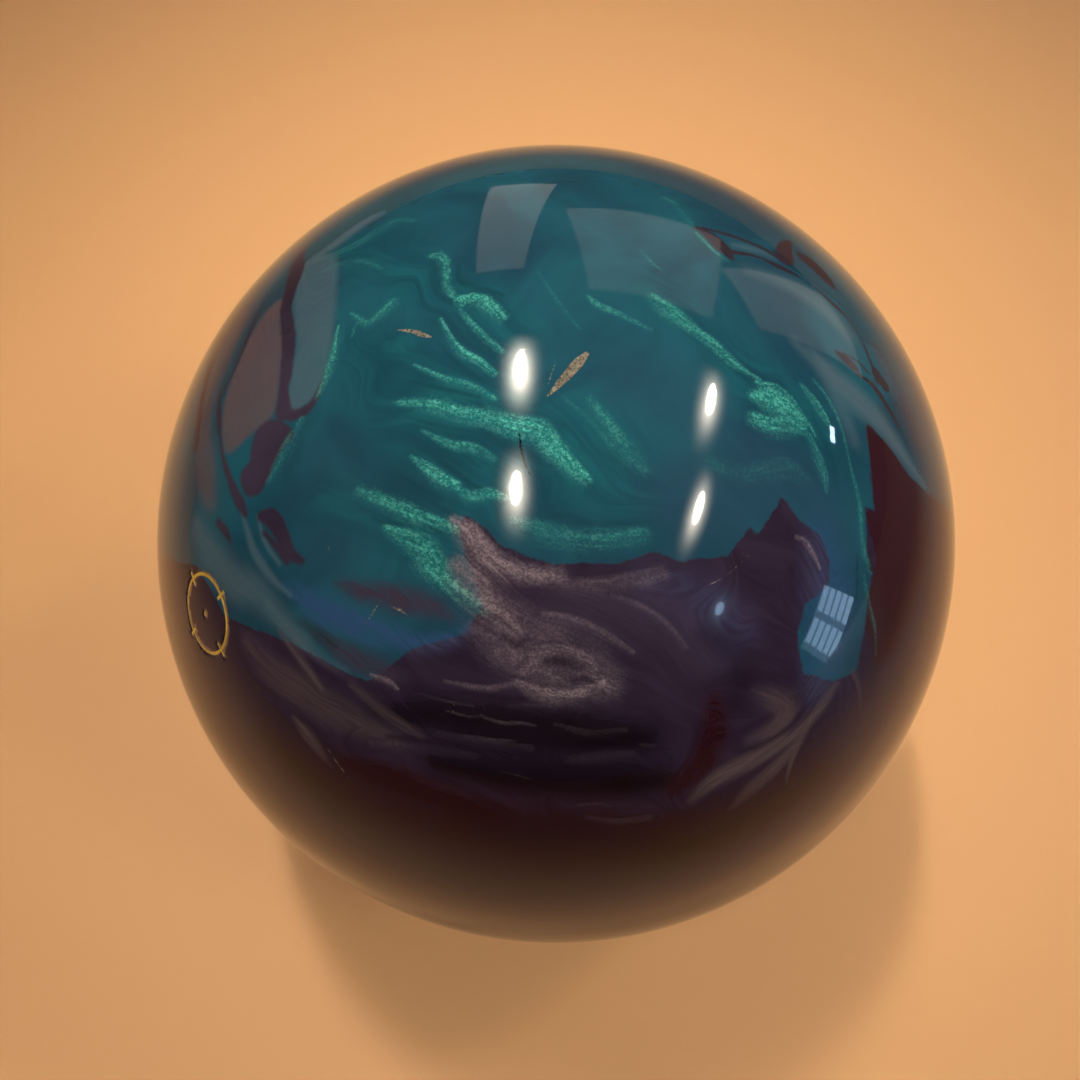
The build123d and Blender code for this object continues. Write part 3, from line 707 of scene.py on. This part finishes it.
class Shader:
    """A material and short names for the nodes that these looks use."""

    def __init__(self, name):
        self.material = bpy.data.materials.new(name)
        self.material.use_nodes = True
        self.tree = self.material.node_tree
        self.shader = self.tree.nodes["Principled BSDF"]

    def node(self, kind, inputs=None, **settings):
        made = self.tree.nodes.new(kind)
        for key, value in settings.items():
            setattr(made, key, value)
        for key, value in (inputs or {}).items():
            self.feed(made.inputs[key], value)
        return made

    def feed(self, socket, value):
        """Links the value to the socket if it is another node's, and else sets it."""
        if isinstance(value, bpy.types.NodeSocket):
            self.tree.links.new(value, socket)
        elif socket.type == "RGBA":
            socket.default_value = (*value, 1.0)
        else:
            socket.default_value = value

    def set(self, **inputs):
        for key, value in inputs.items():
            self.feed(self.shader.inputs[key.replace("_", " ")], value)

    def place(self):
        return self.node("ShaderNodeTexCoord").outputs["Object"]

    def attribute(self, name, vector=False):
        made = self.node("ShaderNodeAttribute", attribute_name=name)
        return made.outputs["Vector" if vector else "Fac"]

    def math(self, operation, *values, clamp=False):
        made = self.node("ShaderNodeMath", operation=operation, use_clamp=clamp)
        for socket, value in zip(made.inputs, values):
            self.feed(socket, value)
        return made.outputs[0]

    def noise(self, scale, detail=2.0, roughness=0.5, vector=None, distortion=0.0):
        made = self.node(
            "ShaderNodeTexNoise",
            {"Scale": scale, "Detail": detail, "Roughness": roughness, "Distortion": distortion},
        )
        self.feed(made.inputs["Vector"], vector or self.place())
        return made.outputs["Fac"]

    def either_way(self, noise, reach):
        """The noise as an offset that runs from minus half the reach to plus half."""
        return self.math("MULTIPLY_ADD", noise, reach, -reach / 2)

    def cells(self, scale):
        """A value from 0 to 1 for each cell of a fine mosaic."""
        mosaic = self.node("ShaderNodeTexVoronoi", {"Scale": scale, "Vector": self.place()})
        parts = self.node("ShaderNodeSeparateColor", {"Color": mosaic.outputs["Color"]})
        return parts.outputs["Red"]

    def stretch(self, vector, scale):
        return self.node("ShaderNodeMapping", {"Vector": vector, "Scale": scale}).outputs["Vector"]

    def step(self, value, low, high, to_low=0.0, to_high=1.0):
        made = self.node(
            "ShaderNodeMapRange",
            {"Value": value, "From Min": low, "From Max": high, "To Min": to_low, "To Max": to_high},
            interpolation_type="SMOOTHSTEP",
        )
        return made.outputs["Result"]

    def mix(self, share, first, second):
        made = self.node("ShaderNodeMix", data_type="RGBA")
        self.feed(made.inputs[0], share)
        self.feed(made.inputs[6], first)
        self.feed(made.inputs[7], second)
        return made.outputs[2]

    def bump(self, height, strength, distance):
        made = self.node(
            "ShaderNodeBump", {"Strength": strength, "Distance": distance, "Height": height}
        )
        return made.outputs["Normal"]


# Colours of the shell: linear red, green and blue
purple_dark, purple_light = (0.016, 0.009, 0.024), (0.027, 0.017, 0.038)
teal_deep, teal_mid = (0.008, 0.044, 0.077), (0.010, 0.074, 0.112)
silk_deep, silk_light = (0.004, 0.038, 0.066), (0.006, 0.092, 0.116)
steel_blue = (0.016, 0.046, 0.090)
plum_dark, plum_light = (0.022, 0.008, 0.020), (0.046, 0.022, 0.044)
maroon = (0.030, 0.006, 0.010)
emerald_deep, emerald_bright = (0.010, 0.160, 0.156), (0.075, 0.370, 0.320)
mauve_deep, mauve_bright = (0.130, 0.102, 0.126), (0.250, 0.206, 0.242)
crease_and_shade_in_purple, crease_and_shade_in_teal = (0.010, 0.004, 0.012), (0.004, 0.035, 0.055)
chalk_dark, chalk_light = (0.060, 0.054, 0.042), (0.270, 0.235, 0.180)
crack_colour = (0.004, 0.010, 0.014)

# Soft clouds, the lowest first: layer, how far streaks vary it, the power that narrows it, and its
# colour, or else its colours over purple and over teal
clouds = [
    # The blue layer also holds a painted bluish reflection round the windows' mirror images
    ("blue_and_painted_reflection", 0.5, 1.0, (0.040, 0.045, 0.105), (0.022, 0.060, 0.150)),
    ("violet", 0.3, 1.0, (0.036, 0.026, 0.052)),
    ("smoke", 0.12, 1.0, (0.060, 0.055, 0.080), (0.066, 0.110, 0.145)),
    ("haze", 0.1, 1.0, (0.110, 0.065, 0.072)),
    # The ink layer also holds painted shade at the foot of the facing side
    ("ink_and_painted_shade", 0.15, 1.4, (0.0035, 0.0008, 0.003)),
    ("mist", 0.4, 1.0, (0.080, 0.060, 0.066)),
    # The wine layer also holds painted shade at the foot of the facing side
    ("wine_and_painted_shade", 0.3, 1.0, (0.020, 0.003, 0.006)),
]

# How often the noise along and across the flow repeats, each per degree
streak_rate = (0.16, 1.9, 1.0)
ripple_rate = (0.07, 0.42, 1.0)
patch_rate = (0.3, 0.5, 1.0)

# How much of its colour a layer shows where it is thickest
steel_share, plum_share, maroon_share, crease_and_shade_share, scuff_share = 0.8, 0.85, 0.8, 0.75, 0.9

wander_scale, wander_reach = 70, 1.6  # of the edges' slow wander, in degrees
fray_scale, fray_reach = 420, 0.7  # of their fine fray
shore_softness = 0.18  # degrees
cloud_scale = 34
flake_scale = 2600  # pearl flakes in a metre
flake_roughness, flake_variation = 0.35, 0.2
pearl_metallic = 0.35
patch_least = 0.6  # the pearl's strength where it is patchiest

scratch_rates = [(14, 900, 900), (700, 16, 700)]  # along the ball's length and its width
scratch_edges = [(0.7, 0.74), (0.71, 0.75)]
scratch_depth, scratch_strength = 0.004 * MM, 0.25

coat_roughness, coat_ior = 0.03, 1.42
scuff_dulling = 0.8  # how much of the polish a chip takes off


class Swirl:
    """The shell's noise and layers, for its material to mix."""

    def __init__(self, s):
        self.s = s
        wander = s.either_way(s.noise(wander_scale, 4, 0.6), wander_reach)
        fray = s.either_way(s.noise(fray_scale, 3, 0.6), fray_reach)
        self.jag = s.math("ADD", wander, fray)
        shore = s.math("ADD", s.attribute("ground"), self.jag)
        self.teal = s.step(shore, -shore_softness, shore_softness)
        flow = s.attribute("flow", vector=True)
        streak = s.noise(1.0, 4, 0.62, vector=s.stretch(flow, streak_rate))
        self.streak = s.step(streak, 0.33, 0.67)
        self.ripple = s.noise(1.0, 3, 0.55, s.stretch(flow, ripple_rate), distortion=0.5)
        self.cloud = s.noise(cloud_scale, 3, 0.55, distortion=0.6)
        patchy = s.step(s.noise(1.0, 2, 0.5, vector=s.stretch(flow, patch_rate)), 0.3, 0.62)
        self.patchy = s.math("MULTIPLY_ADD", patchy, 1 - patch_least, patch_least)
        self.flake = s.cells(flake_scale)

    def crisp(self, name, softness=0.14, jitter=0.3):
        """A crisp layer's cover, with its edge jittered by a share of the shore's own jag."""
        value = self.s.math("MULTIPLY_ADD", self.jag, jitter, self.s.attribute(name))
        return self.s.step(value, -softness, softness)

    def soft(self, name, streaks, power=1.0):
        """A soft layer's cover, varied by streaks along the flow."""
        lift = self.s.math("MULTIPLY_ADD", self.streak, 2 * streaks, 1 - streaks)
        amount = self.s.math("POWER", self.s.attribute(name), power)
        return self.s.math("MULTIPLY", amount, lift, clamp=True)

    def pearl(self, name, streaks, power):
        """A pearl layer's cover, patchy as well."""
        return self.s.math("MULTIPLY", self.soft(name, streaks, power), self.patchy)


def grounds(s, swirl):
    """Purple and teal, with the teal's silky folds and its steel-blue shade."""
    purple = s.mix(s.step(swirl.ripple, 0.25, 0.75), purple_dark, purple_light)
    sea = s.mix(s.step(swirl.cloud, 0.35, 0.65), teal_deep, teal_mid)
    folds = s.mix(s.step(swirl.ripple, 0.3, 0.72), silk_deep, silk_light)
    sea = s.mix(s.attribute("silk"), sea, folds)
    sea = s.mix(s.math("MULTIPLY", s.attribute("steel"), steel_share), sea, steel_blue)
    return s.mix(swirl.teal, purple, sea)


def with_clouds_and_folds(s, swirl, base):
    """The grounds with every soft cloud, painted shade and reflection among them, and the crisp dark
    folds over them.
    """
    for name, streaks, power, *tints in clouds:
        tint = s.mix(swirl.teal, *tints) if len(tints) > 1 else tints[0]
        base = s.mix(swirl.soft(name, streaks, power), base, tint)
    plum = s.mix(s.step(swirl.cloud, 0.3, 0.7), plum_dark, plum_light)
    base = s.mix(s.math("MULTIPLY", swirl.crisp("plum", 0.32, 0.6), plum_share), base, plum)
    return s.mix(s.math("MULTIPLY", swirl.crisp("maroon", 0.22, 0.5), maroon_share), base, maroon)


def scratches(s):
    """The normal of polish with fine scratches both ways."""
    marks = [
        s.step(s.noise(1.0, 2, 0.5, vector=s.stretch(s.place(), rate)), low, high)
        for rate, (low, high) in zip(scratch_rates, scratch_edges)
    ]
    return s.bump(s.math("ADD", *marks), scratch_strength, scratch_depth)


def shell_material():
    """Polished reactive resin: teal and purple grounds, folded colours, pearl and its glitter,
    painted shade and painted reflection.
    """
    s = Shader("pearl_shell")
    swirl = Swirl(s)
    base = with_clouds_and_folds(s, swirl, grounds(s, swirl))

    # Pearl, and the creases in it, with a band of painted shade at the foot
    sparkle = s.step(swirl.flake, 0.1, 1.0)
    emerald = swirl.pearl("emerald", 0.6, power=1.5)
    base = s.mix(emerald, base, s.mix(sparkle, emerald_deep, emerald_bright))
    mauve = swirl.pearl("mauve", 0.4, power=1.4)
    base = s.mix(mauve, base, s.mix(sparkle, mauve_deep, mauve_bright))
    crease_and_painted_shade = s.math("MULTIPLY", swirl.soft("crease_and_painted_shade", 0.5), crease_and_shade_share)
    base = s.mix(crease_and_painted_shade, base, s.mix(swirl.teal, crease_and_shade_in_purple, crease_and_shade_in_teal))

    # Damage
    scuff = swirl.crisp("scuff", 0.05, 0.12)
    chalk = s.mix(swirl.flake, chalk_dark, chalk_light)
    base = s.mix(s.math("MULTIPLY", scuff, scuff_share), base, chalk)
    base = s.mix(swirl.crisp("crack", 0.05, 0.05), base, crack_colour)

    s.set(
        Base_Color=base,
        Metallic=s.math("MULTIPLY", s.math("MAXIMUM", emerald, mauve), pearl_metallic),
        Roughness=s.math("MULTIPLY_ADD", swirl.flake, flake_variation, flake_roughness),
        Specular_IOR_Level=0.0,
        Coat_Weight=s.math("MULTIPLY_ADD", scuff, -scuff_dulling, 1.0),
        Coat_Roughness=coat_roughness,
        Coat_IOR=coat_ior,
        Coat_Normal=scratches(s),
    )
    return s.material


grain_strength, plain_coat_roughness = 0.4, 0.08
smoothest, roughest = 0.8, 1.2  # shares of a plain look's roughness across its grain


def plain_material(name, first, second, roughness, scale, depth, metallic, coat):
    """Moulded or cast plastic, rubber or enamel: two close colours in a fine grain.

    The grain's scale is in repeats to the metre and its depth in millimetres.
    """
    s = Shader(name)
    grain = s.noise(scale, 4, 0.6)
    s.set(
        Base_Color=s.mix(s.step(grain, 0.3, 0.7), first, second),
        Roughness=s.step(grain, 0.2, 0.8, roughness * smoothest, roughness * roughest),
        Metallic=metallic,
        Coat_Weight=coat,
        Coat_Roughness=plain_coat_roughness,
        Normal=s.bump(grain, grain_strength, depth * MM),
    )
    return s.material


# The other looks: name, two colours, roughness, scale, depth, metallic, coat, and who wears them
looks = [
    ("gold_enamel", (0.42, 0.27, 0.02), (0.60, 0.42, 0.05), 0.35, 900, 0.02, 0.1, 0.2,
     ["mass_bias_plug", "locator_ring_infill", "cg_dot_infill"]),
    ("pin_resin", (0.5, 0.36, 0.08), (0.6, 0.46, 0.12), 0.2, 200, 0.01, 0, 1, ["core_pin"]),
    ("grip_rubber", (0.012, 0.012, 0.014), (0.022, 0.022, 0.025), 0.55, 1500, 0.03, 0, 0,
     ["middle_finger_insert", "ring_finger_insert"]),
    ("slug_urethane", (0.03, 0.05, 0.11), (0.036, 0.06, 0.13), 0.3, 1800, 0.004, 0, 0.3,
     ["thumb_slug"]),
    ("sleeve_plastic", (0.02, 0.02, 0.022), (0.035, 0.035, 0.038), 0.35, 600, 0.01, 0, 0,
     ["thumb_sleeve", "thumb_sleeve_cap", "thumb_lock_base"]),
    ("seal_rubber", (0.01, 0.01, 0.01), (0.02, 0.02, 0.02), 0.45, 900, 0.01, 0, 0,
     ["thumb_o_ring", "thumb_bumper_pad"]),
    ("filler_resin", (0.09, 0.09, 0.1), (0.14, 0.14, 0.15), 0.7, 500, 0.05, 0, 0, ["outer_core"]),
    ("core_resin", (0.3, 0.04, 0.03), (0.38, 0.06, 0.04), 0.5, 250, 0.03, 0, 0, ["weight_block"]),
    ("dense_resin", (0.55, 0.36, 0.06), (0.65, 0.45, 0.1), 0.5, 350, 0.03, 0, 0, ["dense_insert"]),
]  # fmt: skip

skin = new_piece("shell_skin", build_skin(), "ball")
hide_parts("coverstock")
skin.data.materials.append(shell_material())

for *look, wearers in looks:
    material = plain_material(*look)
    for name in wearers:
        mesh = nodes[name].data
        mesh.materials.clear()
        mesh.materials.append(material)

# ---------------------------------------------------------------- floor, light and camera

floor_half = 3.0  # metres from its middle to its edge
floor_colour, floor_roughness = (0.62, 0.335, 0.145), 0.6
pool_centre = Vector((0, 110 * MM, floor_z))  # of the light on the floor
warm, soft_white, sky = (1.0, 0.88, 0.72), (1.0, 0.9, 0.8), (0.45, 0.7, 1.0)

ceiling_distance = 2.2
ceiling_width, ceiling_height = 0.6, 1.9
ceiling_core, ceiling_spread = 0.18, 28
# Ceiling lamps: right, up, lean, share of the full width, radiance
ceiling_lamps = [
    (-4, 18.5, 0, 1.0, 5.2),
    (-4, 5.5, 0, 1.0, 3.3),
    (16.4, 15.8, 12, 0.8, 2.8),
    (14.8, 4, 16, 0.7, 2.8),
]

halo_power, halo_strength = 4.0, 0.5  # how fast a lamp's halo falls off, and its share of the core
pane_bar = 0.22  # share of each pane that its bar takes
bar_glow = 0.25  # the bars' light, as a share of the panes'

world_colour = (1.0, 0.84, 0.7)
horizon_height = 0.1  # of the way up, below which the light is the horizon's
horizon_strength, zenith_strength = 0.04, 0.19


def add_floor():
    mesh = bpy.data.meshes.new("floor")
    ways = [(-1, -1), (1, -1), (1, 1), (-1, 1)]
    corners = [(x * floor_half, y * floor_half, floor_z) for x, y in ways]
    mesh.from_pydata(corners, [], [(0, 1, 2, 3)])
    floor = bpy.data.objects.new("floor", mesh)
    bpy.context.scene.collection.objects.link(floor)
    s = Shader("pale_floor")
    s.set(Base_Color=floor_colour, Roughness=floor_roughness)
    mesh.materials.append(s.material)


def add_camera():
    data = bpy.data.cameras.new("camera")
    data.lens, data.sensor_width = camera_lens, camera_sensor
    data.clip_start, data.clip_end = 0.01, 50
    camera = bpy.data.objects.new("camera", data)
    bpy.context.scene.collection.objects.link(camera)
    camera.location = ball_centre + show_facing * camera_distance
    aim = ball_centre - show.right * aim_left + show.up * aim_up
    camera.rotation_euler = (aim - camera.location).to_track_quat("-Z", "Y").to_euler()
    bpy.context.scene.camera = camera
    return camera


def mirrored(right, up):
    """A place's point on the ball, and the way in which the camera's line of sight bounces there."""
    normal = show.direction(right, up)
    point = ball_centre + normal * ball_radius
    view = (camera.location - point).normalized()
    return point, normal * (2 * normal.dot(view)) - view


def add_lamp(
    name, right, up, distance, size, radiance, tint, lean=0.0, core=None, panes=None, spread=180
):
    """An area lamp that the camera sees mirrored in the ball at that place on the show chart.

    Its height runs up the chart, leaning by that many degrees. A core makes it soft: bright within
    that share of its size, fading out to its edge. Panes divide it like a window. A lamp with a
    narrow spread lights a pool of floor round the ball.
    """
    point, way = mirrored(right, up)
    nudge = 0.5  # degrees, to find which way is up in the mirror
    higher = mirrored(right + nudge * sin(radians(lean)), up + nudge * cos(radians(lean)))[1]
    tall = (higher - way - way * (higher - way).dot(way)).normalized()
    wide = tall.cross(way)
    data = bpy.data.lights.new(name, "AREA")
    data.shape = "RECTANGLE"
    data.size, data.size_y = size
    data.energy, data.color = radiance * np.pi * size[0] * size[1], tint
    data.spread = radians(spread)
    lamp = bpy.data.objects.new(name, data)
    bpy.context.scene.collection.objects.link(lamp)
    place = point + way * distance
    if spread < 180:
        way = (place - pool_centre).normalized()
        wide = tall.cross(way).normalized()
        tall = way.cross(wide)
    lamp.matrix_world = Matrix.LocRotScale(place, Matrix((wide, tall, way)).transposed(), None)
    if core or panes:
        shape_lamp(data, core, panes)


def shape_lamp(data, core, panes):
    """Fades the lamp towards its edge, or divides it into panes."""
    data.use_nodes = True
    tree = data.node_tree
    emission = tree.nodes["Emission"]

    def math(operation, *values, clamp=False):
        made = tree.nodes.new("ShaderNodeMath")
        made.operation, made.use_clamp = operation, clamp
        for socket, value in zip(made.inputs, values):
            if isinstance(value, bpy.types.NodeSocket):
                tree.links.new(value, socket)
            else:
                socket.default_value = value
        return made.outputs[0]

    place = tree.nodes.new("ShaderNodeNewGeometry").outputs["Parametric"]
    if core:
        away = tree.nodes.new("ShaderNodeVectorMath")
        away.operation = "DISTANCE"
        away.inputs[1].default_value = (0.5, 0.5, 0)
        tree.links.new(place, away.inputs[0])
        share = math("MULTIPLY", away.outputs["Value"], 2.0)
        halo = math("POWER", math("SUBTRACT", 1.0, share, clamp=True), halo_power)
        bright = math("LESS_THAN", share, core)
        strength = math("MULTIPLY_ADD", halo, halo_strength, bright)
    else:
        across = tree.nodes.new("ShaderNodeSeparateXYZ")
        tree.links.new(place, across.inputs[0])
        clear = [
            math("GREATER_THAN", math("FRACT", math("MULTIPLY", way, float(count))), pane_bar)
            for way, count in zip(across.outputs, panes)
        ]
        strength = math("MULTIPLY_ADD", math("MULTIPLY", *clear), 1 - bar_glow, bar_glow)
    tree.links.new(strength, emission.inputs["Strength"])


def add_world():
    """Soft light that grows from the horizon to the zenith."""
    world = bpy.data.worlds.new("studio")
    bpy.context.scene.world = world
    world.use_nodes = True
    tree = world.node_tree
    height = tree.nodes.new("ShaderNodeSeparateXYZ")
    place = tree.nodes.new("ShaderNodeTexCoord")
    tree.links.new(place.outputs["Generated"], height.inputs[0])
    fade = tree.nodes.new("ShaderNodeMapRange")
    fade.inputs["From Min"].default_value = horizon_height
    fade.inputs["To Min"].default_value = horizon_strength
    fade.inputs["To Max"].default_value = zenith_strength
    tree.links.new(height.outputs["Z"], fade.inputs["Value"])
    background = tree.nodes["Background"]
    tree.links.new(fade.outputs["Result"], background.inputs["Strength"])
    background.inputs["Color"].default_value = (*world_colour, 1.0)


camera = add_camera()
add_floor()
for number, (right, up, lean, share, radiance) in enumerate(ceiling_lamps):
    size = (ceiling_width * share, ceiling_height)
    add_lamp(
        f"ceiling_{number}", right, up, ceiling_distance, size, radiance, warm, lean,
        core=ceiling_core, spread=ceiling_spread,
    )  # fmt: skip
add_lamp("window", 31.5, -8.5, 2.0, (0.42, 0.5), 6, sky, 20, panes=(5, 2))
add_lamp("far_window", 17.4, -6.4, 2.0, (0.75, 0.5), 7, sky, -70, core=0.16)
add_lamp("small_lamp", 32, 13.4, 2.0, (0.05, 0.12), 40, sky)
add_lamp("panel_left", -6.5, 39, 3.0, (0.55, 2.0), 0.9, soft_white, 6)
add_lamp("panel_middle", 10.5, 34.5, 3.0, (1.5, 1.7), 0.6, soft_white)
add_lamp("panel_right", 29.5, 29.5, 3.0, (1.6, 0.9), 0.6, soft_white, -20)
add_world()
bpy.context.scene.view_settings.view_transform = "Standard"
